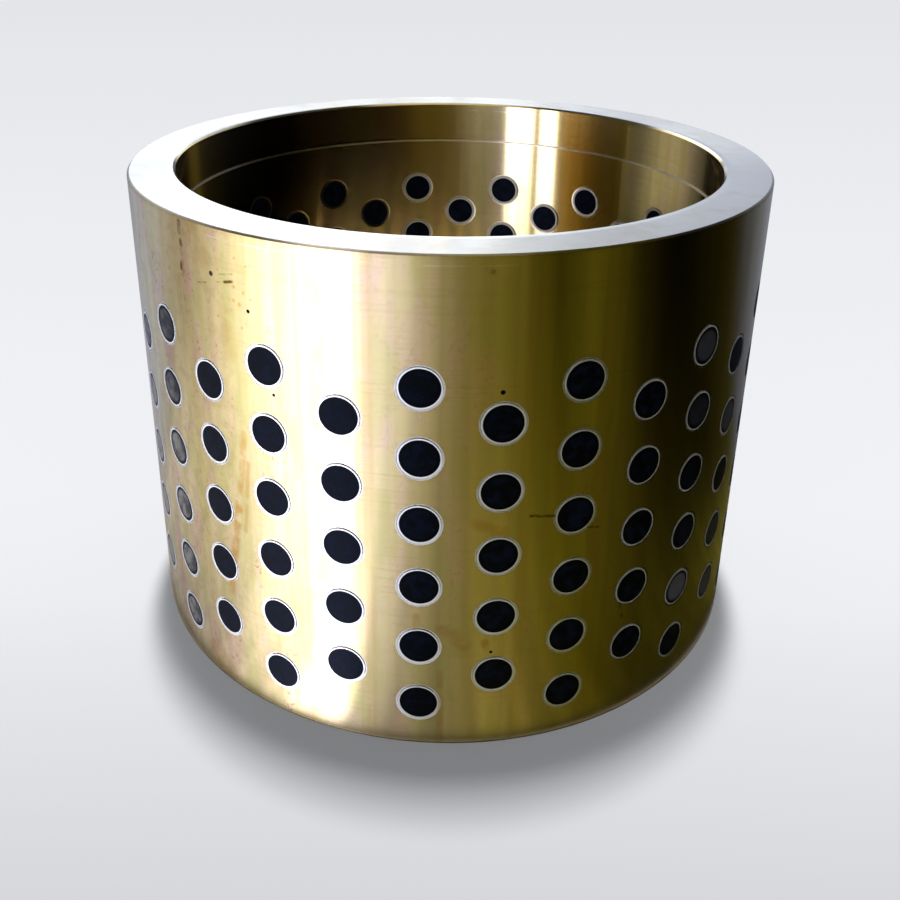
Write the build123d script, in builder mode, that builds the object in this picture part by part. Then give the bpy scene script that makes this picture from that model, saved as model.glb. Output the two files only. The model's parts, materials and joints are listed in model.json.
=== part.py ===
"""A graphite plugged bushing: a turned bronze sleeve with staggered columns of graphite plugs.

The sleeve stands on its end, with its axis on Z and the centre of its lower end face at the origin.
Every plug lies on a radius and runs right through the wall, and both its ends are turned flush, one
with the wall's outer face and one with the bore. The columns come in pairs, a long one and a short
one set half a pitch lower, so that the plugs' paths overlap over the whole working length.
"""

import math
import os

from build123d import *

# The sleeve, in millimetres
bore_diameter = 149.0
wall = 13.0
length = 130.0
mouth_step = 0.6  # the bore's upper end is opened out by this much on the radius
mouth_depth = 13.0
edge_break = 0.6  # chamfer on every turned rim

# The plugs and their pockets
plug_diameter = 10.0
pocket_clearance = 0.0  # on the diameter: the plugs are pressed in and fill their pockets
pocket_edge_break = 0.5  # countersink at both ends of a pocket
column_pairs = 15
plug_pitch = 17.25  # from one plug of a column to the next
first_plug_depth = 30.25  # from the top face down to the first plugs
last_plug_height = 13.5  # least height of a plug's axis above the lower face
first_column_angle = -90.0  # the first column faces -Y
cutter_overrun = 1.0  # how far a cutter or a plug's stock stands past both faces of the wall

bore_radius = bore_diameter / 2
mouth_radius = bore_radius + mouth_step
outer_radius = bore_radius + wall
plug_radius = plug_diameter / 2
pocket_radius = plug_radius + pocket_clearance / 2
column_count = 2 * column_pairs


def plug_heights(column):
    """Heights of one column's plugs, from the top down. Every second column starts half a pitch lower."""
    first_height = length - first_plug_depth - column % 2 * plug_pitch / 2
    plug_count = 1 + math.floor((first_height - last_plug_height) / plug_pitch + 1e-6)
    return [first_height - row * plug_pitch for row in range(plug_count)]


def column_plane(column):
    """Plane along the sleeve's axis that a column's plugs stand on: X runs up, Z out along the plugs."""
    angle = math.radians(first_column_angle + column * 360 / column_count)
    return Plane(origin=(0, 0, 0), x_dir=(0, 0, 1), z_dir=(math.cos(angle), math.sin(angle), 0))


# The turned section of the wall, revolved: the sleeve before its pockets are drilled
with BuildPart() as turned_blank:
    with BuildSketch(Plane.XZ):
        with BuildLine():
            Polyline(
                (bore_radius + edge_break, 0),
                (outer_radius - edge_break, 0),
                (outer_radius, edge_break),
                (outer_radius, length - edge_break),
                (outer_radius - edge_break, length),
                (mouth_radius + edge_break, length),
                (mouth_radius, length - edge_break),
                (mouth_radius, length - mouth_depth),
                (bore_radius, length - mouth_depth),
                (bore_radius, edge_break),
                close=True,
            )
        make_face()
    revolve(axis=Axis.Z)

# What drilling one pocket takes away: the hole, opening at 45 degrees at both faces of the wall
with BuildPart() as pocket_cutter:
    with BuildSketch(Plane.XZ):
        with BuildLine():
            Polyline(
                (0, bore_radius - cutter_overrun),
                (pocket_radius + pocket_edge_break + cutter_overrun, bore_radius - cutter_overrun),
                (pocket_radius, bore_radius + pocket_edge_break),
                (pocket_radius, outer_radius - pocket_edge_break),
                (pocket_radius + pocket_edge_break + cutter_overrun, outer_radius + cutter_overrun),
                (0, outer_radius + cutter_overrun),
                close=True,
            )
        make_face()
    revolve(axis=Axis.Z)

# The sleeve, with every pocket cut
pocket_places = [
    column_plane(column).location * Pos(height, 0, 0)
    for column in range(column_count)
    for height in plug_heights(column)
]
with BuildPart() as sleeve:
    add(turned_blank.part)
    with Locations(*pocket_places):
        add(pocket_cutter.part, mode=Mode.SUBTRACT)
sleeve.part.label = "sleeve"

# The plugs, one node for each column: round sticks, turned with the wall so that their ends are flush
plug_columns = []
for column in range(column_count):
    with BuildPart() as plug_column:
        with BuildSketch(column_plane(column).offset(bore_radius - cutter_overrun)):
            with Locations(*[(height, 0) for height in plug_heights(column)]):
                Circle(plug_radius)
        extrude(amount=wall + 2 * cutter_overrun)
        add(turned_blank.part, mode=Mode.INTERSECT)
    plug_column.part.label = f"plug_column_{column + 1:02d}"
    plug_columns.append(plug_column.part)

os.makedirs("parts", exist_ok=True)
for piece in [sleeve.part, *plug_columns]:
    export_step(piece, f"parts/{piece.label}.step")
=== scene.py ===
"""Dresses the graphite plugged bushing: turned bronze, graphite plugs, a plain studio and the camera.

Everything is in metres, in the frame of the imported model: +Z up the bushing's axis, the floor at
z = 0, and the first column of plugs facing -Y. A bearing round the object is counted from -Y,
positive towards +X, as the camera's own azimuth is.
"""

import json
import math

import bpy
import numpy as np
from mathutils import Matrix, Vector


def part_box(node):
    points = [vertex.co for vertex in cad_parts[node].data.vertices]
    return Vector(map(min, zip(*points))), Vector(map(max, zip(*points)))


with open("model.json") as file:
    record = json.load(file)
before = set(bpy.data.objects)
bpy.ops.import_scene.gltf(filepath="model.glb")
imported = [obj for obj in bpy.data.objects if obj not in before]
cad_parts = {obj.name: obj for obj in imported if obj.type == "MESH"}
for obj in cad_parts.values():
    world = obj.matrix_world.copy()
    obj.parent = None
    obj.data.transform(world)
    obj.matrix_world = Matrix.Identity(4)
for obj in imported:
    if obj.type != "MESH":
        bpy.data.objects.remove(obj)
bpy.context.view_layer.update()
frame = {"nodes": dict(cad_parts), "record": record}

MM = 0.001

# The bushing's own sizes, read from the frame
mounts = {mount["name"]: mount for mount in frame["record"]["mounts"]}
bore_radius = mounts["bore"]["dims"]["r_mm"] * MM
outer_radius = mounts["outer_face"]["dims"]["r_mm"] * MM
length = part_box("sleeve")[1].z
shoulder_height = mounts["bore"]["pos_m"][2] + mounts["bore"]["dims"]["length_mm"] * MM / 2
column_names = sorted(name for name in frame["nodes"] if name.startswith("plug_column_"))
column_step = 2 * math.pi / len(column_names)
long_low, long_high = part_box(column_names[0])
short_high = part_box(column_names[1])[1]
plug_radius = (long_high.x - long_low.x) / 2
plug_pitch = 2 * (long_high.z - short_high.z)
first_plug_height = long_high.z - plug_radius
last_row = round((long_high.z - long_low.z - 2 * plug_radius) / plug_pitch)


def around(bearing, distance, height):
    """Point at a bearing in degrees round the bushing's axis: (d sin b, -d cos b, h)."""
    turn = math.radians(bearing)
    return Vector((distance * math.sin(turn), -distance * math.cos(turn), height))


# ---------------------------------------------------------------- node trees


class Finish:
    """A procedural finish under construction. Each call adds nodes and returns an output socket.

    A point of the surface is x, y, z, and also its radius sqrt(x^2 + y^2) and its bearing, the turn
    atan2(x, -y), in radians.
    """

    def __init__(self, name):
        self.material = bpy.data.materials.new(name)
        self.material.use_nodes = True
        self.tree = self.material.node_tree
        self.shader = self.tree.nodes["Principled BSDF"]
        self.point = self.tree.nodes.new("ShaderNodeTexCoord").outputs["Object"]
        place = self.tree.nodes.new("ShaderNodeSeparateXYZ")
        self.tree.links.new(self.point, place.inputs[0])
        self.x, self.y, self.z = place.outputs
        self.radius = self.vector("LENGTH", self.joined(self.x, self.y, 0.0))
        self.turn = self.sum("ARCTAN2", self.x, self.sum("MULTIPLY", self.y, -1.0))

    def give(self, socket, value):
        """Feeds a socket from another socket, or sets it to a constant."""
        if isinstance(value, bpy.types.NodeSocket):
            self.tree.links.new(value, socket)
        else:
            socket.default_value = value

    def sum(self, operation, *values):
        """A number worked out from one to three numbers."""
        node = self.tree.nodes.new("ShaderNodeMath")
        node.operation = operation
        for socket, value in zip(node.inputs, values):
            self.give(socket, value)
        return node.outputs[0]

    def times(self, *values):
        """The product of several numbers."""
        product = values[0]
        for value in values[1:]:
            product = self.sum("MULTIPLY", product, value)
        return product

    def vector(self, operation, *values):
        """A vector worked out from others; LENGTH and DISTANCE give a number."""
        node = self.tree.nodes.new("ShaderNodeVectorMath")
        node.operation = operation
        for socket, value in zip(node.inputs, values):
            self.give(socket, value)
        return node.outputs["Value" if operation in ("LENGTH", "DISTANCE", "DOT_PRODUCT") else "Vector"]

    def joined(self, x, y, z):
        """A vector from three numbers."""
        node = self.tree.nodes.new("ShaderNodeCombineXYZ")
        for socket, value in zip(node.inputs, (x, y, z)):
            self.give(socket, value)
        return node.outputs[0]

    def shifted(self, vector, x, y, z):
        """The same place moved, so that a pattern there doesn't repeat another."""
        return self.vector("ADD", vector, (x, y, z))

    def rise(self, value, low, high):
        """0 below low and 1 above high, with a smooth step between; low above high turns it round."""
        node = self.tree.nodes.new("ShaderNodeMapRange")
        node.interpolation_type = "SMOOTHSTEP"
        ends = (high, low, 1.0, 0.0) if low > high else (low, high, 0.0, 1.0)
        self.give(node.inputs[0], value)
        for socket, end in zip(node.inputs[1:5], ends):
            socket.default_value = end
        return node.outputs[0]

    def sector(self, start, full, fading, end):
        """1 between the bearings full and fading in degrees, 0 outside start and end, smooth between."""
        return self.times(self.rise(self.turn, math.radians(start), math.radians(full)),
                          self.rise(self.turn, math.radians(end), math.radians(fading)))

    def blend(self, share, first, second):
        """Colour or vector that goes from first to second as share goes from 0 to 1."""
        node = self.tree.nodes.new("ShaderNodeMix")
        node.data_type = "RGBA"
        self.give(node.inputs[0], share)
        self.give(node.inputs[6], first)
        self.give(node.inputs[7], second)
        return node.outputs[2]

    def noise(self, vector, size, detail=2.0, roughness=0.5):
        """Soft noise between 0 and 1, with lumps of about this size in metres."""
        node = self.tree.nodes.new("ShaderNodeTexNoise")
        self.give(node.inputs["Vector"], vector)
        node.inputs["Scale"].default_value = 1 / size
        node.inputs["Detail"].default_value = detail
        node.inputs["Roughness"].default_value = roughness
        return node.outputs[0]

    def lines(self, value, size, detail=1.0):
        """Noise of one number only, so that it makes lines where that number is the same."""
        node = self.tree.nodes.new("ShaderNodeTexNoise")
        node.noise_dimensions = "1D"
        self.give(node.inputs["W"], value)
        node.inputs["Scale"].default_value = 1 / size
        node.inputs["Detail"].default_value = detail
        return node.outputs[0]

    def bump(self, height, depth, normal=None):
        """Normal of a surface raised by height times depth, in metres."""
        node = self.tree.nodes.new("ShaderNodeBump")
        node.inputs["Strength"].default_value = 1.0
        node.inputs["Distance"].default_value = depth
        self.give(node.inputs["Height"], height)
        if normal is not None:
            self.give(node.inputs["Normal"], normal)
        return node.outputs[0]


def distance_to_plug(finish):
    """Distance from the axis of the nearest plug.

    The bearing divided by the columns' step and rounded gives the column, and its remainder the arc
    across it. Odd columns start half a pitch lower. The height below a column's first plug, divided
    by the pitch, rounded and held within the column, gives the row and the distance along it.
    """
    turns = finish.sum("DIVIDE", finish.turn, column_step)
    column = finish.sum("ROUND", turns)
    odd = finish.sum("FLOORED_MODULO", column, 2.0)
    swing = finish.sum("MULTIPLY", finish.sum("SUBTRACT", turns, column), column_step)
    arc = finish.sum("MULTIPLY", finish.radius, finish.sum("SINE", swing))
    start = finish.sum("MULTIPLY_ADD", odd, -plug_pitch / 2, first_plug_height)
    rows_down = finish.sum("DIVIDE", finish.sum("SUBTRACT", start, finish.z), plug_pitch)
    row = finish.sum("MAXIMUM", finish.sum("ROUND", rows_down), 0.0)
    row = finish.sum("MINIMUM", row, finish.sum("SUBTRACT", float(last_row), odd))
    drop = finish.sum("MULTIPLY", finish.sum("SUBTRACT", rows_down, row), plug_pitch)
    return finish.vector("LENGTH", finish.joined(arc, drop, 0.0))


def near_bore(finish):
    """1 at the wall's inner face and 0 further out."""
    return finish.rise(finish.radius, bore_radius + 3 * MM, bore_radius + 2 * MM)


def near_outside(finish):
    """1 at the wall's outer face and 0 further in."""
    return finish.rise(finish.radius, outer_radius - 2 * MM, outer_radius - 1 * MM)


def ring_share(finish, inside):
    """How much of the pale ring round a pocket is shown, burnished by the tool and partly a painted
    highlight.

    Half of it on the outer wall from bearings 27 to 100, and hardly any in the bore from -166 to -80:
    painted shade where the polish round it is dark.
    """
    # Painted shade: the pale ring is dimmed where the polish round it is dark
    shaded_outside = finish.times(finish.sector(27, 38, 85, 100), finish.sum("SUBTRACT", 1.0, inside))
    shaded_inside = finish.times(finish.sector(-166, -157, -95, -80), inside)
    share = finish.sum("MULTIPLY_ADD", shaded_inside, -0.95, 1.0)
    return finish.sum("MULTIPLY_ADD", shaded_outside, -0.5, share)


def spotted(finish, spots, edge, middle):
    """The strongest of several round spots on the outer wall at this point.

    A spot is its bearing, height, radius and share. It fades from its share at middle times its radius
    to nothing at edge times its radius.
    """
    strongest = 0.0
    for bearing, height, size, share in spots:
        gap = finish.vector("DISTANCE", finish.point, around(bearing, outer_radius, height))
        spot = finish.times(finish.rise(gap, size * edge, size * middle), share)
        strongest = finish.sum("MAXIMUM", strongest, spot)
    return strongest


# ---------------------------------------------------------------- bronze

GOLD = (0.80, 0.635, 0.29, 1)
OLD_GOLD = (0.66, 0.49, 0.19, 1)
ROSE_GOLD = (0.80, 0.56, 0.34, 1)
DEEP_ROSE = (0.74, 0.47, 0.31, 1)
OLIVE_GOLD = (0.66, 0.57, 0.20, 1)
# Paler faced metal, partly painted light on the top face, and a painted highlight on the bore's shoulder
FACED_AND_HIGHLIGHT = (0.88, 0.80, 0.61, 1)
# Burnished metal for the rings round the pockets, partly a painted highlight
BURNISHED_AND_HIGHLIGHT = (0.93, 0.90, 0.80, 1)
STAIN = (0.36, 0.20, 0.07, 1)
DARK_STAIN = (0.15, 0.09, 0.02, 1)
# Painted shade along the foot of the wall
FOOT_SHADE = (0.05, 0.03, 0.01, 1)
RUST = (0.60, 0.34, 0.08, 1)
PIT = (0.010, 0.008, 0.006, 1)

# Pits and rust specks on the wall: bearing in degrees, height and radius in metres, colour's share
PITS = [(-33.4, 0.1188, 0.0006, 0.85), (-26.3, 0.1122, 0.00045, 1.0), (-22.5, 0.0931, 0.0004, 1.0),
        (11.7, 0.0988, 0.00055, 1.0), (-1.0, 0.1035, 0.0003, 1.0), (11.4, 0.0290, 0.0004, 1.0)]
SPECKS = [(-27.9, 0.1133, 0.0007, 0.75), (-29.0, 0.1139, 0.0006, 0.75), (-27.7, 0.1077, 0.0005, 0.75),
          (-28.3, 0.1240, 0.0005, 0.75), (-28.8, 0.1172, 0.0007, 0.75), (-25.7, 0.1151, 0.0005, 0.75),
          (-26.2, 0.1227, 0.0004, 0.75), (-27.0, 0.1163, 0.0006, 0.75), (-32.5, 0.1089, 0.0005, 0.75),
          (-38.1, 0.1000, 0.0008, 0.75), (-31.9, 0.1202, 0.0004, 0.75), (-44.6, 0.1158, 0.0006, 0.75)]
# Scratches and stains on the wall: bearing and height at each end, half width in metres, colour's share
SCRATCHES = [((-31.6, 0.1192), (-28.9, 0.1201), 0.00022, 0.35),
             ((-32.9, 0.1169), (-30.6, 0.1177), 0.00020, 0.45),
             ((-30.6, 0.1177), (-29.0, 0.1183), 0.00036, 1.0),
             ((-36.7, 0.1155), (-34.6, 0.1162), 0.00020, 0.5),
             ((-40.5, 0.1286), (-40.5, 0.1263), 0.00070, 0.9),
             ((-40.4, 0.1240), (-40.3, 0.1232), 0.00060, 0.8),
             ((-40.7, 0.1187), (-40.8, 0.1172), 0.00055, 0.9),
             ((16.7, 0.0668), (20.4, 0.0660), 0.00038, 0.8),
             ((26.3, 0.0611), (28.1, 0.0604), 0.00026, 1.0),
             ((33.8, 0.0351), (34.5, 0.0310), 0.00040, 0.6),
             ((8.8, 0.1268), (9.9, 0.1262), 0.00060, 0.45)]
# Soft rusty runs and patches on the wall, given as the scratches are
RUNS = [((-28.9, 0.0800), (-30.7, 0.0620), 0.0011, 0.75), ((-30.7, 0.0620), (-33.0, 0.0441), 0.0014, 0.95),
        ((-33.0, 0.0441), (-34.7, 0.0305), 0.0013, 0.75), ((-28.4, 0.0725), (-30.0, 0.0527), 0.0007, 0.60),
        ((-42.0, 0.0075), (-37.5, 0.0050), 0.0030, 0.45), ((8.4, 0.0657), (13.0, 0.0629), 0.0014, 0.55),
        ((3.9, 0.0362), (7.1, 0.0316), 0.0020, 0.50), ((10.4, 0.0320), (10.7, 0.0300), 0.0010, 0.80),
        ((3.4, 0.0230), (3.6, 0.0017), 0.0008, 0.50), ((-0.4, 0.0397), (-0.4, 0.0355), 0.0009, 0.50),
        ((-37.5, 0.1280), (-35.0, 0.1220), 0.0025, 0.35), ((-31.0, 0.1110), (-30.5, 0.1000), 0.0020, 0.30)]


def wall_direction(finish, rim):
    """Exact normal of the turned walls.

    The outer wall's normal is (x, y, 0) / r and the bore's is the reverse. A point is on a wall where
    its radius is within a facet's depth of that wall's, and elsewhere its mesh's own normal stands.
    The edge of a pocket is drawn nearly flush, so that most of the wall's normal stands there too.
    """
    facet = 0.12 * MM
    rim_share = 0.85
    outer_rim = finish.times(rim, near_outside(finish))
    outside = finish.rise(finish.radius, outer_radius - 2 * facet, outer_radius - facet)
    outside = finish.sum("MAXIMUM", outside, finish.times(outer_rim, rim_share))
    inner_rim = finish.times(rim, finish.rise(finish.radius, bore_radius + 2 * MM, bore_radius + 1 * MM))
    inside = finish.rise(finish.radius, bore_radius + 2 * facet, bore_radius + facet)
    inside = finish.sum("MAXIMUM", inside, finish.times(inner_rim, rim_share))
    outward = finish.vector("NORMALIZE", finish.joined(finish.x, finish.y, 0.0))
    exact = finish.vector("SCALE", outward)
    finish.give(exact.node.inputs["Scale"], finish.sum("SUBTRACT", outside, inside))
    mesh_normal = finish.tree.nodes.new("ShaderNodeNewGeometry").outputs["Normal"]
    return finish.vector("NORMALIZE", finish.blend(finish.sum("ADD", outside, inside), mesh_normal, exact))


def tarnish(finish, along_cut, bored, on_outside):
    """The old metal's colour: gold in several tones, rose and olive patches, brown speckle, streaks
    down the wall, fine lines round it, and stronger mottling where the wall is older.

    The mottling is by bearing, and fades out again before the back, where the bearing jumps.
    """
    older = finish.times(finish.sector(-172, -150, -38, -22), on_outside)
    tall = finish.vector("MULTIPLY", finish.point, (1.0, 1.0, 0.3))  # stretches the patches upright
    tone = finish.rise(finish.noise(tall, 0.03, 3.0), 0.40, 0.75)
    colour = finish.blend(finish.times(tone, 0.55), GOLD, OLD_GOLD)
    blush = finish.rise(finish.noise(finish.shifted(tall, 0.3, 0.1, 0.7), 0.009, 4.0, 0.6), 0.46, 0.66)
    colour = finish.blend(finish.times(blush, finish.sum("MULTIPLY_ADD", older, 0.2, 0.8)), colour,
                          finish.blend(older, ROSE_GOLD, DEEP_ROSE))
    olive = finish.rise(finish.noise(finish.shifted(tall, 0.6, 0.4, 0.2), 0.007, 3.0, 0.6), 0.50, 0.64)
    olive = finish.times(olive, finish.sum("MULTIPLY_ADD", older, 0.25, 0.6))
    colour = finish.blend(olive, colour, OLIVE_GOLD)
    speckle = finish.rise(finish.noise(finish.point, 1.4 * MM, 2.0, 0.6), 0.56, 0.66)
    worn = finish.sum("MULTIPLY_ADD", finish.sector(-172, -150, -24, -12), 0.50, 0.15)
    colour = finish.blend(finish.times(speckle, blush, worn), colour, STAIN)
    blotch = finish.noise(finish.shifted(finish.point, 0.7, 0.2, 0.9), 4 * MM, 4.0, 0.65)
    colour = finish.blend(finish.times(finish.rise(blotch, 0.50, 0.62), older, 0.22), colour, STAIN)

    round_wall = finish.times(finish.turn, finish.radius)
    streak = finish.rise(finish.lines(round_wall, 3 * MM, 3.0), 0.48, 0.72)
    colour = finish.blend(finish.times(streak, 0.45), colour, OLD_GOLD)
    fine_line = finish.rise(finish.lines(along_cut, 0.8 * MM, 2.0), 0.48, 0.66)
    patchy = finish.rise(finish.noise(finish.shifted(finish.point, 0.1, 0.9, 0.4), 0.010, 2.0), 0.50, 0.62)
    fine_line = finish.times(fine_line, finish.sum("MAXIMUM", patchy, bored))
    colour = finish.blend(finish.times(fine_line, 0.35), colour, OLD_GOLD)
    warm_band = finish.rise(finish.lines(finish.sum("ADD", round_wall, 0.37), 0.008, 3.0), 0.52, 0.68)
    colour = finish.blend(finish.times(warm_band, 0.22), colour, RUST)
    ring_tone = finish.rise(finish.lines(along_cut, 3 * MM, 4.0), 0.5, 0.8)
    return finish.blend(finish.times(ring_tone, 0.25), colour, OLD_GOLD)


def faced_end(finish, colour):
    """Paler metal on the faced end, partly fresh cut and partly painted light on the top face, with a faint
    broken tool line round the wall just below it.
    """
    top = finish.rise(finish.z, length - 0.3 * MM, length - 0.1 * MM)
    # The top face is paler: fresh cut metal, partly painted light
    colour = finish.blend(top, colour, FACED_AND_HIGHLIGHT)
    tool_line = finish.sum("ABSOLUTE", finish.sum("SUBTRACT", finish.z, length - 2.4 * MM))
    tool_line = finish.rise(tool_line, 0.20 * MM, 0.08 * MM)
    gaps = finish.rise(finish.lines(finish.turn, 0.12), 0.45, 0.65)
    colour = finish.blend(finish.times(tool_line, gaps, 0.35), colour, BURNISHED_AND_HIGHLIGHT)
    tone = finish.rise(finish.noise(finish.shifted(finish.point, 0.2, 0.5, 0.0), 6 * MM, 3.0), 0.45, 0.7)
    return finish.blend(finish.times(tone, top, 0.18), colour, OLD_GOLD)


def line_mark(finish, first, last, half_width):
    """1 along a straight mark drawn on the unrolled wall, and 0 off it.

    On the unrolled wall a point is (radius times bearing, height). Its place along the mark is its
    offset from the first end, dotted with the mark and divided by the mark's length squared, held
    between 0 and 1, and what is left over is its distance from the mark.
    """
    ends = [(outer_radius * math.radians(bearing), height) for bearing, height in (first, last)]
    run = Vector((ends[1][0] - ends[0][0], ends[1][1] - ends[0][1], 0))
    flat = finish.joined(finish.sum("MULTIPLY", finish.turn, outer_radius), finish.z, 0.0)
    offset = finish.vector("SUBTRACT", flat, (ends[0][0], ends[0][1], 0))
    share = finish.sum("DIVIDE", finish.vector("DOT_PRODUCT", offset, run), run.length_squared)
    share = finish.sum("MINIMUM", finish.sum("MAXIMUM", share, 0.0), 1.0)
    reached = finish.vector("MULTIPLY", finish.joined(share, share, 0.0), run)
    gap = finish.vector("DISTANCE", offset, reached)
    return finish.rise(gap, half_width * 1.5, half_width * 0.4)


def lined(finish, marks):
    """The strongest of several straight marks at this point, each given as the scratches are."""
    strongest = 0.0
    for first, last, half_width, share in marks:
        mark = finish.times(line_mark(finish, first, last, half_width), share)
        strongest = finish.sum("MAXIMUM", strongest, mark)
    return strongest


def bronze():
    """Turned and polished bronze: tarnish, a paler faced end with painted light on the top, a burnished
    ring round each pocket that is partly a painted highlight, a painted highlight along the bore's
    shoulder, painted shade at the foot, rusty runs, scratches, specks and black pits, over fine rings
    from the tool."""
    finish = Finish("turned_bronze")
    pocket = distance_to_plug(finish)
    rim = finish.times(finish.rise(pocket, plug_radius - 0.2 * MM, plug_radius),
                       finish.rise(pocket, plug_radius + 0.62 * MM, plug_radius + 0.48 * MM))
    bored = near_bore(finish)
    on_outside = near_outside(finish)
    along_cut = finish.sum("ADD", finish.radius, finish.z)  # crosses the tool's rings on every face
    colour = faced_end(finish, tarnish(finish, along_cut, bored, on_outside))

    halo = finish.times(finish.rise(pocket, plug_radius + 2.2 * MM, plug_radius + 0.8 * MM),
                        finish.rise(finish.noise(finish.point, 1.6 * MM, 3.0), 0.45, 0.65))
    colour = finish.blend(finish.times(halo, 0.5), colour, OLD_GOLD)
    # The pale ring round each pocket is burnished metal and partly a painted highlight; in the bore it is
    # dimmed as painted shade
    pale_ring = finish.times(rim, finish.sum("MULTIPLY_ADD", bored, -0.6, 1.0), ring_share(finish, bored))
    colour = finish.blend(pale_ring, colour, BURNISHED_AND_HIGHLIGHT)
    # A paler band along the bore's shoulder: a painted highlight on the step, with more roughness there
    shoulder = finish.sum("ABSOLUTE", finish.sum("SUBTRACT", finish.z, shoulder_height))
    shoulder = finish.times(finish.rise(shoulder, 0.40 * MM, 0.15 * MM), bored)
    colour = finish.blend(finish.times(shoulder, 0.4), colour, FACED_AND_HIGHLIGHT)

    # Painted shade: the foot of the outer wall is darkened where it meets the floor
    foot = finish.times(finish.rise(finish.z, 1.2 * MM, 0.7 * MM), on_outside)
    colour = finish.blend(finish.times(foot, 0.9), colour, FOOT_SHADE)
    broken = finish.rise(finish.noise(finish.point, 1.5 * MM, 2.0), 0.3, 0.55)
    colour = finish.blend(finish.times(lined(finish, SCRATCHES), broken, on_outside), colour, DARK_STAIN)
    soft = finish.rise(finish.noise(finish.point, 4 * MM, 3.0), 0.30, 0.60)
    colour = finish.blend(finish.times(lined(finish, RUNS), soft, on_outside), colour, RUST)
    colour = finish.blend(spotted(finish, SPECKS, 1.1, 0.2), colour, RUST)
    pits = spotted(finish, PITS, 1.2, 0.8)
    colour = finish.blend(pits, colour, PIT)
    finish.give(finish.shader.inputs["Base Color"], colour)

    smudge = finish.noise(finish.point, 0.02, 1.0)
    rough = finish.sum("MULTIPLY_ADD", smudge, 0.03, 0.225)
    for part, change in ((bored, -0.09), (pale_ring, 0.72), (foot, 0.30), (shoulder, 0.22)):
        rough = finish.sum("MULTIPLY_ADD", part, change, rough)
    finish.give(finish.shader.inputs["Roughness"], finish.sum("MAXIMUM", rough, pits))
    finish.shader.inputs["Metallic"].default_value = 1.0
    finish.shader.inputs["Anisotropic"].default_value = 1.0

    wave = finish.noise(finish.vector("MULTIPLY", finish.point, (1.0, 1.0, 0.15)), 0.015, 1.0)
    normal = finish.bump(wave, 0.03 * MM, wall_direction(finish, rim))
    normal = finish.bump(finish.lines(along_cut, 0.5 * MM, 2.0), 0.003 * MM, normal)
    finish.give(finish.shader.inputs["Normal"], normal)

    # The tool's rings spread light across themselves: the tangent is normal x ring direction
    ring = finish.joined(finish.sum("MULTIPLY", finish.y, -1.0), finish.x, 0.0)
    spread = finish.vector("NORMALIZE", finish.vector("CROSS_PRODUCT", normal, ring))
    finish.give(finish.shader.inputs["Tangent"], spread)
    return finish.material


# ---------------------------------------------------------------- graphite

GRAPHITE = (0.001, 0.001, 0.002, 1)
COLD_GRAPHITE = (0.003, 0.005, 0.014, 1)
GRAPHITE_RIM = (0.001, 0.001, 0.001, 1)
# Painted sheen on the plugs' outer ends, paler lower down
PLUG_SHEEN = (0.30, 0.29, 0.28, 1)
PALE_PLUG_SHEEN = (0.46, 0.43, 0.41, 1)
# Painted shade on a plug's pale lip in the bore
SHADED_LIP = (0.42, 0.36, 0.25, 1)

# Plugs with a painted sheen on them, besides those on the left side: bearing and height of the
# middle, radius and the sheen's share
SHEENED_PLUGS = [(48, 0.09975, plug_radius, 0.09), (48, 0.08250, plug_radius, 0.03),
                (48, 0.03075, plug_radius, 0.13), (60, 0.07390, plug_radius, 0.09),
                (60, 0.03940, plug_radius, 0.03), (60, 0.02220, plug_radius, 0.08)]


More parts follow.
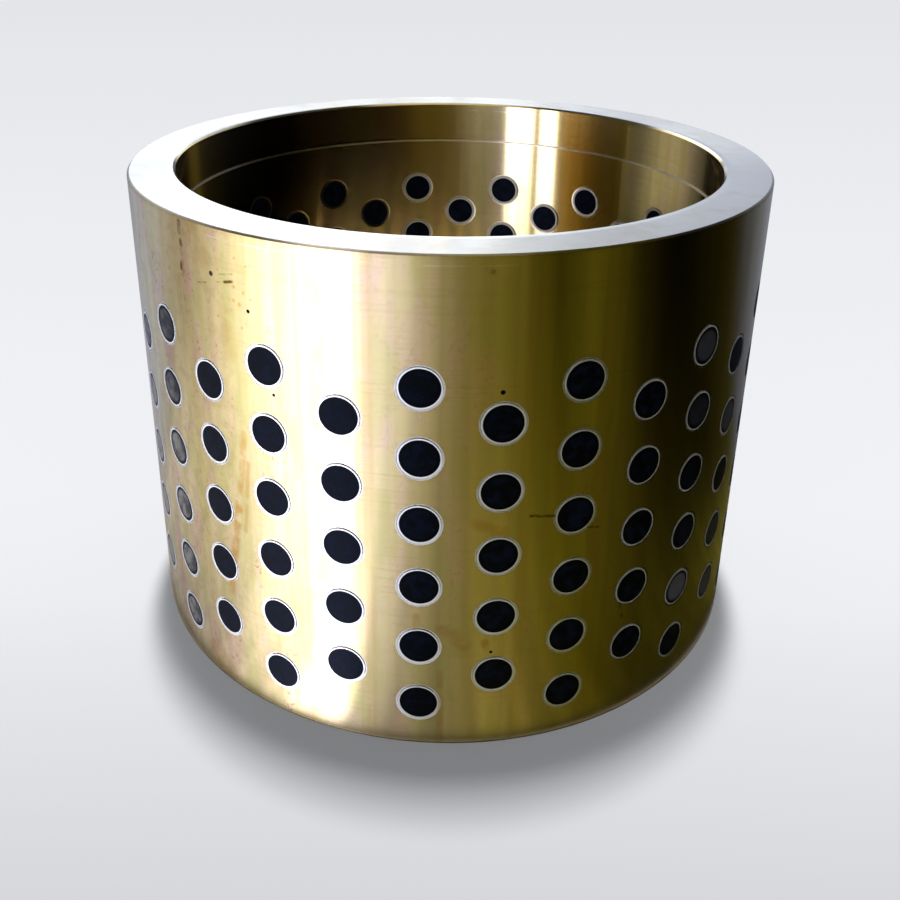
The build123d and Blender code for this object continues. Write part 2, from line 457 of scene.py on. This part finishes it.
def graphite():
    """Turned graphite: near black with a cold tint, a fine grain, and a darker rim on each plug.

    A painted sheen lies on the outer ends of the plugs on the left side and of a few more, paler lower
    down. The lip of bronze that the tool has drawn over a plug's very edge is partly a painted
    highlight; in the bore it is wider and darker, a painted shade.
    """
    finish = Finish("turned_graphite")
    pocket = distance_to_plug(finish)
    inside = near_bore(finish)
    grain = finish.noise(finish.point, 0.8 * MM, 4.0)
    cloud = finish.noise(finish.point, 2.6 * MM, 3.0)
    colour = finish.blend(finish.rise(cloud, 0.40, 0.65), GRAPHITE, COLD_GRAPHITE)

    # Painted sheen on the plugs from bearings -80 to -38 and on a few more, paler lower down, none in the
    # bore
    low_down = finish.rise(finish.z, 0.092, 0.062)
    sheened = finish.times(finish.sector(-80, -66, -57, -38),
                         finish.sum("MULTIPLY_ADD", finish.rise(cloud, 0.35, 0.65), 0.7, 0.3),
                         finish.sum("MULTIPLY_ADD", low_down, 0.8, 1.0))
    sheened = finish.sum("MINIMUM", sheened, 1.0)
    sheened = finish.sum("MAXIMUM", sheened, spotted(finish, SHEENED_PLUGS, 1.2, 0.8))
    sheened = finish.times(sheened, finish.sum("SUBTRACT", 1.0, inside))
    colour = finish.blend(sheened, colour, finish.blend(low_down, PLUG_SHEEN, PALE_PLUG_SHEEN))
    rim = finish.rise(pocket, plug_radius - 1.5 * MM, plug_radius - 0.9 * MM)
    colour = finish.blend(rim, colour, GRAPHITE_RIM)

    # The pale lip at a plug's edge is partly a painted highlight; in the bore it is wider and darker, a
    # painted shade
    outer_lip = finish.rise(pocket, plug_radius - 0.42 * MM, plug_radius - 0.26 * MM)
    inner_lip = finish.times(finish.rise(pocket, plug_radius - 0.8 * MM, plug_radius - 0.5 * MM), inside)
    lip = finish.times(finish.sum("MAXIMUM", outer_lip, inner_lip), ring_share(finish, inside))
    colour = finish.blend(lip, colour, finish.blend(inside, BURNISHED_AND_HIGHLIGHT, SHADED_LIP))
    finish.give(finish.shader.inputs["Base Color"], colour)
    finish.give(finish.shader.inputs["Metallic"], lip)
    rough = finish.sum("MULTIPLY_ADD", grain, 0.25, 0.30)
    finish.give(finish.shader.inputs["Roughness"], finish.sum("MULTIPLY_ADD", lip, 0.12, rough))
    finish.shader.inputs["Specular IOR Level"].default_value = 0.06
    finish.shader.inputs["Specular Tint"].default_value = (0.62, 0.80, 1.0, 1)
    finish.give(finish.shader.inputs["Normal"], finish.bump(grain, 0.02 * MM))
    return finish.material


def dress(node_name, material):
    """Puts a finish into a CAD node's only slot."""
    frame["nodes"][node_name].data.materials[0] = material


dress("sleeve", bronze())
plug_finish = graphite()
for name in column_names:
    dress(name, plug_finish)

# ---------------------------------------------------------------- studio

scene = bpy.context.scene
scene.view_settings.view_transform = "Standard"

camera_bearing = 3.53
FLOOR = (0.985, 0.995, 1.03)
# Painted light and shade on the floor by distance along the camera's bearing: a painted pool of light level
# with the bushing and a painted shadow band just in front of it
FLOOR_LIGHT_AND_SHADE = [(-1.6, 0.78), (-0.68, 0.81), (-0.22, 0.855), (-0.024, 0.895), (0.03, 0.87),
               (0.10, 0.75), (0.13, 0.69), (0.16, 0.70), (0.50, 0.80)]
WORLD = (0.93, 0.95, 1.0, 1)
WORLD_UNSEEN = 0.10  # the world's strength on dull surfaces
WORLD_SEEN = 0.82  # its strength to the camera and in polish
OVERHEAD_TIPS = (5.2, 7.2, 9.2, 11.2)  # how far each overhead light is tipped to the back, in degrees
OVERHEAD_ENERGY = 2.2  # of all of them together
OVERHEAD_SPREAD = 3
FILL_ENERGY = 0.7
FILL_SPREAD = 20


def floor():
    """A wide pale floor at z = 0, with painted light and shade graded along the camera's bearing: lightest
    level with the bushing, with a painted shadow band just in front of it.

    A point's place in the grade is its position dotted with the level direction to the camera.
    """
    finish = Finish("pale_floor")
    along = finish.vector("DOT_PRODUCT", finish.point, around(camera_bearing, 1.0, 0.0))
    tones = [(*(tone * channel for channel in FLOOR), 1) for _, tone in FLOOR_LIGHT_AND_SHADE]
    places = [place for place, _ in FLOOR_LIGHT_AND_SHADE]
    colour = tones[0]
    for start, end, tone in zip(places, places[1:], tones[1:]):
        share = finish.tree.nodes.new("ShaderNodeMapRange")
        finish.give(share.inputs[0], along)
        share.inputs[1].default_value, share.inputs[2].default_value = start, end
        colour = finish.blend(share.outputs[0], colour, tone)
    finish.give(finish.shader.inputs["Base Color"], colour)
    finish.shader.inputs["Roughness"].default_value = 1.0
    finish.shader.inputs["Specular IOR Level"].default_value = 0.0
    reach = 6.0
    mesh = bpy.data.meshes.new("floor")
    mesh.from_pydata([(-reach, -reach, 0), (reach, -reach, 0), (reach, reach, 0), (-reach, reach, 0)], [],
                     [(0, 1, 2, 3)])
    mesh.materials.append(finish.material)
    made = bpy.data.objects.new("floor", mesh)
    scene.collection.objects.link(made)


# The light tent: how bright each of its rings is, by bearing from the camera. 1 is a plain white card.
# The near and middle rings lie on the floor, the far one runs on up the foot of the tent's wall, and
# the high one stands above it. The slope closes in over that, up to the crown.
TENT_NEAR = [(-180, 0.50), (-90, 0.36), (-66, 0.38), (-57, 0.46), (-49, 0.58), (-44, 0.85),
             (-40, 1.05), (-35, 1.20), (-31, 1.70), (-27, 3.20), (-19.5, 3.20), (-16, 0.80),
             (-10, 0.40), (0, 0.21), (9, 0.27), (14, 0.24), (18, 0.16), (27, 0.11), (34, 0.05),
             (44, 0.03), (50, 0.04), (66, 0.05), (180, 0.50)]
TENT_MIDDLE = [(-180, 0.60), (-102, 0.42), (-92, 0.75), (-74, 0.82), (-62, 0.95), (-52, 1.30),
               (-44, 3.00), (-25, 3.00), (-21, 1.40), (-14, 0.90), (-7, 0.45), (0, 0.28), (12, 0.29),
               (20, 0.20), (28, 0.14), (40, 0.09), (50, 0.05), (66, 0.015), (88, 0.008), (95, 0.02),
               (105, 0.04), (180, 0.60)]
TENT_FAR = [(-180, 0.50), (-176, 0.15), (-160, 0.25), (-126, 0.46), (-109, 0.52), (-97, 0.44),
            (-90, 0.50), (-80, 0.78), (-73, 1.20), (-66, 1.70), (-58, 2.40), (-48, 3.20), (-29, 3.20),
            (-26.5, 1.35), (-16, 1.15), (-11, 0.80), (-4, 0.47), (2, 0.26), (10, 0.17), (18, 0.15),
            (27, 0.07), (34, 0.025), (44, 0.09), (54, 0.055), (60, 0.015), (70, 0.003), (78, 0.002),
            (86, 0.006), (101, 0.012), (108, 0.03), (116, 0.08), (126, 0.15), (150, 0.35), (165, 0.65),
            (177, 0.80), (180, 0.50)]
TENT_HIGH = [(-180, 2.20), (-155, 2.20), (-138, 0.60), (-121, 0.50), (-107, 0.40), (-97, 0.20),
             (-86, 0.06), (-70, 0.04), (-62, 0.10), (-56, 0.40), (-52, 3.20), (-29, 3.20), (-26, 0.50),
             (-20, 0.35), (-10, 0.35), (0, 0.12), (12, 0.08), (22, 0.04), (33, 0.01), (44, 0.00),
             (110, 0.00), (125, 0.10), (140, 0.40), (158, 0.70), (168, 1.00), (180, 2.20)]
TENT_SLOPE = [(-180, 0.06), (180, 0.06)]
TENT_CROWN = [(-180, 0.80), (180, 0.80)]
FOLD_CONTRAST = 0.16
SEEN_AGAIN = 0.2  # share of a light that polish shows when it is seen in other polish
TENT_TINTS = [(-180, (0.90, 1.00, 1.25)), (-125, (0.95, 1.08, 1.50)), (-108, (0.97, 1.10, 1.60)),
              (-98, (1.00, 1.02, 1.20)), (-66, (1.00, 1.04, 1.20)), (-58, (1.00, 1.03, 1.32)),
              (-35, (1.00, 1.02, 1.32)), (-24, (1.00, 1.05, 1.60)), (-15, (1.00, 1.08, 1.45)),
              (-4, (1.00, 1.02, 1.00)), (8, (1.00, 0.95, 0.40)), (30, (1.00, 0.98, 0.10)),
              (105, (1.00, 0.98, 0.20)), (112, (0.90, 1.05, 1.60)), (180, (0.88, 1.00, 1.30))]

# The card that lines the bore: its light by bearing from the camera, and that of its lower streak
BORE_CARD = [(-180, 0.0), (-140, 0.01), (-136, 0.08), (-126, 0.05), (-115, 0.05), (-109, 0.08),
             (-104, 0.12), (-99, 0.18), (-93, 0.26), (-88, 0.34), (-78, 0.42), (-77, 4.0),
             (-65.5, 4.0), (-65, 0.12), (-61.2, 0.12), (-60.7, 4.0), (-41.5, 4.0), (-40.5, 0.42),
             (-36, 0.30), (-30, 0.26), (-20, 0.27), (-14, 0.19), (-9, 0.14), (-4, 0.11), (1, 0.07),
             (17, 0.06), (22, 0.05), (27, 0.03), (33, 0.018), (43, 0.008), (54, 0.003), (64, 0.0),
             (92, 0.0), (100, 0.003), (118, 0.0), (180, 0.0)]
BORE_STREAK = [(-180, 0), (98.5, 0), (99, 1.2), (100.5, 1.2), (101, 0), (180, 0)]
BORE_TINTS = [(-180, (1.00, 0.90, 0.30)), (-131, (1.00, 0.86, 0.20)), (-112, (1.00, 0.62, 0.05)),
              (-90, (1.00, 0.62, 0.10)), (-78, (1.00, 0.76, 0.40)), (-77, (1.00, 1.10, 1.60)),
              (-65.5, (1.00, 1.10, 1.60)), (-65, (1.00, 0.70, 0.20)), (-61.2, (1.00, 0.70, 0.20)),
              (-60.7, (1.00, 1.10, 1.60)), (-41, (1.00, 1.10, 1.60)), (-36, (1.00, 1.06, 1.20)),
              (-15, (1.00, 0.97, 0.90)), (1, (1.00, 0.74, 0.05)), (22, (1.00, 0.74, 0.00)),
              (45, (1.00, 0.25, 0.00)), (97, (1.00, 0.25, 0.00)), (99, (1.00, 0.90, 0.60)),
              (102, (1.00, 0.50, 0.10)), (180, (1.00, 0.80, 0.20))]

# The lamp that stands in the bore's side: its bearing round the bushing, and its light by radius and
# by height, both in metres
SIDE_BEARING = 134
SIDE_BY_RADIUS = [(0.0630, 0.42), (0.0641, 0.42), (0.0648, 0.31), (0.0656, 0.24), (0.0664, 0.18),
                  (0.0674, 0.13), (0.0685, 0.105), (0.0700, 0.085), (0.0735, 0.04)]
SIDE_BY_HEIGHT = [(0.078, 0.39), (0.085, 0.45), (0.105, 0.98), (0.128, 1.0)]


def read_off(table, places):
    """A table's values at these places, straight between its stops."""
    stops, values = zip(*table)
    values = np.array(values, dtype=float).reshape(len(stops), -1)
    return np.stack([np.interp(places, stops, column) for column in values.T], axis=1)


def shown_twice(tree):
    """Share of a light that polish shows: all of it at first, and less when seen in other polish."""
    path = tree.nodes.new("ShaderNodeLightPath")
    share = tree.nodes.new("ShaderNodeMapRange")
    share.inputs["From Min"].default_value, share.inputs["From Max"].default_value = 1.0, 2.0
    share.inputs["To Min"].default_value, share.inputs["To Max"].default_value = 1.0, SEEN_AGAIN
    tree.links.new(path.outputs["Glossy Depth"], share.inputs["Value"])
    return share.outputs[0]


def tent_cloth():
    """Cloth that shines only on its back, the side of the bushing, and lets light through its front."""
    material = bpy.data.materials.new("tent_cloth")
    material.use_nodes = True
    tree = material.node_tree
    tree.nodes.clear()
    attribute = tree.nodes.new("ShaderNodeAttribute")
    attribute.attribute_name = "glow"
    emission = tree.nodes.new("ShaderNodeEmission")
    tree.links.new(attribute.outputs["Color"], emission.inputs["Color"])
    path = tree.nodes.new("ShaderNodeLightPath")
    direct = tree.nodes.new("ShaderNodeMath")  # dull surfaces don't throw the tent's light on
    direct.operation = "LESS_THAN"
    direct.inputs[1].default_value = 0.5
    tree.links.new(path.outputs["Diffuse Depth"], direct.inputs[0])
    strength = tree.nodes.new("ShaderNodeMath")
    strength.operation = "MULTIPLY"
    tree.links.new(direct.outputs[0], strength.inputs[0])
    tree.links.new(shown_twice(tree), strength.inputs[1])
    tree.links.new(strength.outputs[0], emission.inputs["Strength"])
    side = tree.nodes.new("ShaderNodeMixShader")
    tree.links.new(tree.nodes.new("ShaderNodeNewGeometry").outputs["Backfacing"], side.inputs[0])
    tree.links.new(tree.nodes.new("ShaderNodeBsdfTransparent").outputs[0], side.inputs[1])
    tree.links.new(emission.outputs[0], side.inputs[2])
    tree.links.new(side.outputs[0], tree.nodes.new("ShaderNodeOutputMaterial").inputs["Surface"])
    material.cycles.emission_sampling = "NONE"
    return material


def hang(name, points, glow, material):
    """Hangs a cloth given as rows of points, with its light at each point, so that only polish shows it."""
    rows, count = points.shape[:2]
    corner = (np.arange(rows - 1)[:, None] * count + np.arange(count - 1)).ravel()
    faces = np.stack([corner, corner + 1, corner + count + 1, corner + count], axis=1)
    mesh = bpy.data.meshes.new(name)
    mesh.from_pydata(points.reshape(-1, 3).tolist(), [], faces.tolist())
    light = np.concatenate([glow, np.ones((rows, count, 1))], axis=2)
    mesh.attributes.new("glow", "FLOAT_COLOR", "POINT").data.foreach_set("color", light.ravel())
    mesh.materials.append(material)
    made = bpy.data.objects.new(name, mesh)
    scene.collection.objects.link(made)
    made.visible_camera = made.visible_diffuse = made.visible_shadow = made.visible_transmission = False


def turned(profile, bearings):
    """Points of a profile of (radius, height) turned to each bearing from the camera."""
    turns = np.radians(bearings + camera_bearing)
    return np.stack([np.outer(profile[:, 0], np.sin(turns)), -np.outer(profile[:, 0], np.cos(turns)),
                     np.repeat(profile[:, 1:2], len(turns), axis=1)], axis=2)


def tent():
    """A light tent round the bushing, and a card that lines its bore, that show only in its polish.

    The tent is a profile of rings (radius, height) that runs out over the floor, up the tent's walls
    and in under its dark slope to its crown, turned round the axis. A ring's light at a bearing is the
    tables' values there, each times the ring's share of it, times the tint there. The bore's lining is
    made in the same way.
    """
    material = tent_cloth()
    profile = np.array([  # radius, height, shares of near, middle, far, high, slope and crown
        (0.0885, 0.0005, 0, 0, 0, 0, 0, 0), (0.092, 0.0005, 1, 0, 0, 0, 0, 0),
        (0.100, 0.0005, 1, 0, 0, 0, 0, 0), (0.155, 0.0005, 0, 1, 0, 0, 0, 0),
        (0.170, 0.0005, 0, 1, 0, 0, 0, 0), (0.32, 0.0005, 0, 0, 1, 0, 0, 0),
        (0.60, 0.0005, 0, 0, 1, 0, 0, 0), (0.60, 0.22, 0, 0, 1, 0, 0, 0),
        (0.60, 0.32, 0, 0, 0, 1, 0, 0), (0.60, 0.62, 0, 0, 0, 1, 0, 0),
        (0.58, 0.70, 0, 0, 0, 0, 1, 0), (0.32, 1.00, 0, 0, 0, 0, 1, 0),
        (0.25, 1.03, 0, 0, 0, 0, 0, 1), (0.01, 1.05, 0, 0, 0, 0, 0, 1)])
    bearings = np.linspace(-180, 180, 361)
    levels = np.concatenate([read_off(table, bearings) for table in (
        TENT_NEAR, TENT_MIDDLE, TENT_FAR, TENT_HIGH, TENT_SLOPE, TENT_CROWN)], axis=1)
    folds = 0.6 * np.sin(bearings * 0.9) + 0.4 * np.sin(bearings * 1.7 + 1.0)
    levels *= 1 + FOLD_CONTRAST * folds[:, None]  # the cloth hangs in soft folds
    glow = np.einsum("rl,bl->rb", profile[:, 2:], levels)[:, :, None] * read_off(TENT_TINTS, bearings)
    glow[-2:] = levels[:, 5][None, :, None]  # the crown isn't tinted
    hang("light_tent", turned(profile, bearings), glow, material)

    lining = np.array([  # radius, height, shares of the card and its streak
        (0.0715, 0.032, 0.57, 1), (0.0715, 0.040, 0.60, 1), (0.0715, 0.055, 0.70, 0),
        (0.0715, 0.100, 1.00, 0), (0.0715, 0.127, 1.05, 0)])
    bearings = np.linspace(-180, 180, 721)
    levels = np.concatenate([read_off(BORE_CARD, bearings), read_off(BORE_STREAK, bearings)], axis=1)
    glow = np.einsum("rl,bl->rb", lining[:, 2:], levels)[:, :, None] * read_off(BORE_TINTS, bearings)
    hang("bore_lining", turned(lining, bearings), glow, material)


def graded(tree, place, table, first, last):
    """A table's value where place, from 0 to 1, runs from its stop first to its stop last."""
    ramp = tree.nodes.new("ShaderNodeValToRGB")
    stops = sorted(((stop - first) / (last - first), value) for stop, value in table)
    while len(ramp.color_ramp.elements) < len(stops):
        ramp.color_ramp.elements.new(0.5)
    for element, (position, value) in zip(ramp.color_ramp.elements, stops):
        element.position, element.color = position, (value, value, value, 1)
    tree.links.new(place, ramp.inputs[0])
    return ramp.outputs[0]


def side_lamp():
    """A lamp that stands on edge in the bore along one bearing, and shows only in the bore's polish.

    A point of it at (across, up), each from 0 to 1, shines by the tables' values at its radius, from
    the outer end inwards, and at its height.
    """
    outer_end, inner_end = SIDE_BY_RADIUS[-1][0], SIDE_BY_RADIUS[0][0]
    foot, head = SIDE_BY_HEIGHT[0][0], SIDE_BY_HEIGHT[-1][0]
    lamp = bpy.data.lights.new("bore_side_lamp", "AREA")
    lamp.shape = "RECTANGLE"
    lamp.size, lamp.size_y = outer_end - inner_end, head - foot
    lamp.energy = math.pi * lamp.size * lamp.size_y  # at which a strength of 1 is white
    lamp.color = (1.0, 1.0, 0.9)
    lamp.use_nodes = True
    tree = lamp.node_tree
    emission = tree.nodes["Emission"]
    place = tree.nodes.new("ShaderNodeSeparateXYZ")
    tree.links.new(tree.nodes.new("ShaderNodeNewGeometry").outputs["Parametric"], place.inputs[0])
    by_radius = graded(tree, place.outputs[0], SIDE_BY_RADIUS, outer_end, inner_end)
    by_height = graded(tree, place.outputs[1], SIDE_BY_HEIGHT, foot, head)
    both = tree.nodes.new("ShaderNodeVectorMath")
    both.operation = "MULTIPLY"
    tree.links.new(by_radius, both.inputs[0])
    tree.links.new(by_height, both.inputs[1])
    tree.links.new(both.outputs[0], emission.inputs["Color"])
    tree.links.new(shown_twice(tree), emission.inputs["Strength"])
    made = bpy.data.objects.new("bore_side_lamp", lamp)
    scene.collection.objects.link(made)
    out = around(SIDE_BEARING, 1.0, 0.0)
    up = Vector((0, 0, 1))
    middle = out * (outer_end + inner_end) / 2 + up * (foot + head) / 2
    turning = Matrix((-out, up, up.cross(out))).transposed().to_4x4()
    made.matrix_world = Matrix.Translation(middle) @ turning
    made.visible_camera = made.visible_diffuse = made.visible_transmission = False


def overhead(name, energy, spread, tip):
    """A soft overhead light, spread over an angle and tipped towards the back, both in degrees."""
    lamp = bpy.data.lights.new(name, "SUN")
    lamp.energy = energy
    lamp.angle = math.radians(spread)
    made = bpy.data.objects.new(name, lamp)
    scene.collection.objects.link(made)
    high = 1.2  # only its direction counts
    made.location = around(camera_bearing + 180, high * math.tan(math.radians(tip)), high)
    made.rotation_euler = (-made.location).to_track_quat("-Z", "Y").to_euler()
    made.visible_glossy = False
    return lamp


def light():
    """A row of overhead lights that throws the shadow, another that lightens it, and an even pale world
    that is dim on dull surfaces and bright only where the camera or polish sees it."""
    for row, tip in enumerate(OVERHEAD_TIPS):
        overhead("overhead_%d" % row, OVERHEAD_ENERGY / len(OVERHEAD_TIPS), OVERHEAD_SPREAD, tip)
    overhead("overhead_fill", FILL_ENERGY, FILL_SPREAD, 0).use_shadow = False
    surroundings = bpy.data.worlds.new("studio")
    surroundings.use_nodes = True
    tree = surroundings.node_tree
    background = tree.nodes["Background"]
    background.inputs["Color"].default_value = WORLD
    path = tree.nodes.new("ShaderNodeLightPath")
    seen = tree.nodes.new("ShaderNodeMath")
    seen.operation = "MAXIMUM"
    tree.links.new(path.outputs["Is Camera Ray"], seen.inputs[0])
    tree.links.new(path.outputs["Is Glossy Ray"], seen.inputs[1])
    strength = tree.nodes.new("ShaderNodeMapRange")
    strength.inputs["To Min"].default_value = WORLD_UNSEEN
    strength.inputs["To Max"].default_value = WORLD_SEEN
    tree.links.new(seen.outputs[0], strength.inputs["Value"])
    tree.links.new(strength.outputs[0], background.inputs["Strength"])
    scene.world = surroundings


def camera():
    """The camera, turned level to look along +Y, yawed, tipped down and rolled, then carried round."""
    distance, height = 278.7 * MM, 196.1 * MM
    tip_down, yaw, roll = math.radians(22.70), math.radians(-1.33), math.radians(0.37)
    focal_pixels, frame_pixels = 1003.1, 900.0
    centre_x, centre_y = 424.6, 318.2  # where the lens's axis meets the frame, in pixels
    made = bpy.data.objects.new("camera", bpy.data.cameras.new("camera"))
    scene.collection.objects.link(made)
    made.data.sensor_width = 36.0
    made.data.lens = focal_pixels / frame_pixels * made.data.sensor_width
    made.data.shift_x = (frame_pixels / 2 - centre_x) / frame_pixels
    made.data.shift_y = (centre_y - frame_pixels / 2) / frame_pixels
    made.data.clip_start = 1 * MM
    made.matrix_world = (
        Matrix.Rotation(math.radians(camera_bearing), 4, "Z")
        @ Matrix.Translation((0, -distance, height))
        @ Matrix.Rotation(math.radians(90), 4, "X")
        @ Matrix.Rotation(-yaw, 4, "Y")
        @ Matrix.Rotation(-tip_down, 4, "X")
        @ Matrix.Rotation(roll, 4, "Z")
    )
    scene.camera = made


floor()
tent()
side_lamp()
light()
camera()
